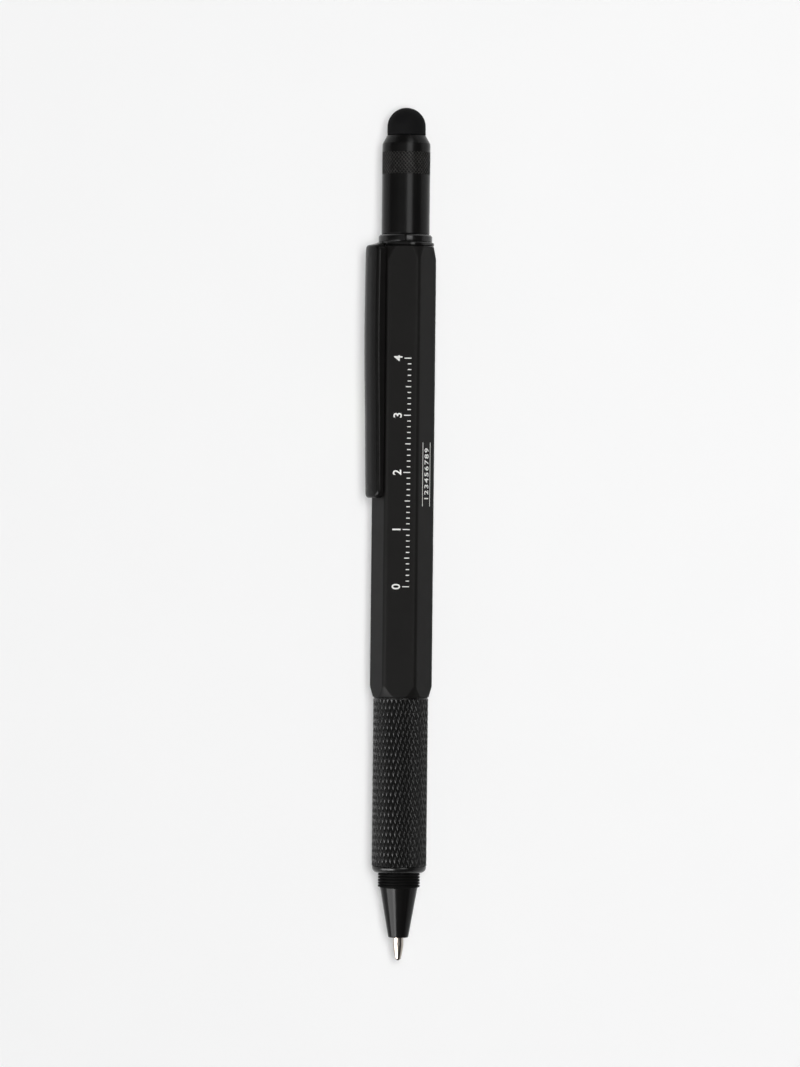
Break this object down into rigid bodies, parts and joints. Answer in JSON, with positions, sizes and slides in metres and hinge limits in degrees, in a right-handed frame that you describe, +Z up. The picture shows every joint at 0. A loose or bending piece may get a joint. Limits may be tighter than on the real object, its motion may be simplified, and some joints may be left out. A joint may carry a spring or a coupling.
{
  "type": "multi tool pen",
  "caption": "Hexagonal metal tool pen with a knurled twist grip, pocket clip, bubble level behind a window, and a stylus cap over a reversible screwdriver bit.",
  "frame": {"origin": "middle of the barrel's length, on the flat that the pen lies on", "axes": "+Y along the pen towards the stylus, writing tip towards -Y; +Z up, square to the front flat; the clip is on the upper flat towards -X"},
  "size_m": [0.0124, 0.15, 0.0103],
  "materials": {
    "hex_barrel": "satin black anodised",
    "bit_holder": "satin black anodised",
    "lock_ring": "satin black coated steel",
    "clip_band": "satin black coated steel",
    "clip_arm": "satin black coated steel",
    "grip_sleeve": "satin black anodised, diamond knurled",
    "nose_cone": "satin black anodised",
    "stylus_cap": "satin black anodised, finely knurled band",
    "stylus_dome": "matt silicone",
    "stylus_core": "moulded",
    "screwdriver_bit": "hardened",
    "bit_magnet": "plated",
    "level_holder": "moulded",
    "level_vial": "clear",
    "level_plug": "moulded",
    "level_bubble": "clear",
    "guide_tube": "turned",
    "cam_sleeve": "turned",
    "barrel_bush": "turned",
    "twist_o_ring": "matt",
    "refill_carrier": "moulded",
    "cam_pin": "ground",
    "refill_tube": "drawn",
    "refill_tip": "turned",
    "refill_ball": "polished"
  },
  "bodies": {
    "barrel": {"hex_barrel": "hex_barrel", "barrel_bush": "barrel_bush", "guide_tube": "guide_tube", "level_holder": "level_holder", "level_vial": "level_vial", "level_plug": "level_plug", "bit_holder": "bit_holder", "bit_magnet": "bit_magnet", "clip_band": "clip_band", "lock_ring": "lock_ring"},
    "clip": {"clip_arm": "clip_arm"},
    "grip": {"grip_sleeve": "grip_sleeve", "cam_sleeve": "cam_sleeve", "nose_cone": "nose_cone", "twist_o_ring": "twist_o_ring"},
    "refill": {"refill_carrier": "refill_carrier", "cam_pin": "cam_pin", "refill_tube": "refill_tube", "refill_tip": "refill_tip", "refill_ball": "refill_ball"},
    "cap": {"stylus_cap": "stylus_cap", "stylus_dome": "stylus_dome", "stylus_core": "stylus_core"},
    "bit": {"screwdriver_bit": "screwdriver_bit"},
    "bubble": {"level_bubble": "level_bubble"}
  },
  "joints": [
    {"name": "grip_twist", "type": "hinge", "parent": "barrel", "child": "grip", "pos_m": [0, -0.055, 0.00485], "axis": [0, 1, 0], "range_deg": [0, 180]},
    {"name": "refill_slide", "type": "slide", "parent": "barrel", "child": "refill", "axis": [0, 1, 0], "range_m": [0, 0.005]},
    {"name": "cap_off", "type": "slide", "parent": "barrel", "child": "cap", "axis": [0, 1, 0], "range_m": [0, 0.06]},
    {"name": "bit_pull", "type": "slide", "parent": "barrel", "child": "bit", "axis": [0, 1, 0], "range_m": [0, 0.03]},
    {"name": "clip_flex", "type": "hinge", "parent": "barrel", "child": "clip", "pos_m": [-0.00446, 0.03977, 0.00743], "axis": [-0.5, 0, -0.866], "range_deg": [0, 5], "stiffness_Nm_per_rad": 2},
    {"name": "bubble_travel", "type": "slide", "parent": "barrel", "child": "bubble", "axis": [0, 1, 0], "range_m": [-0.004, 0.004]}
  ],
  "couplings": [
    {"joint": "grip_twist", "follows": "refill_slide", "rad_per_m": 628.32},
    {"joint": "bit_pull", "follows": "cap_off", "ratio": 0.5}
  ]
}
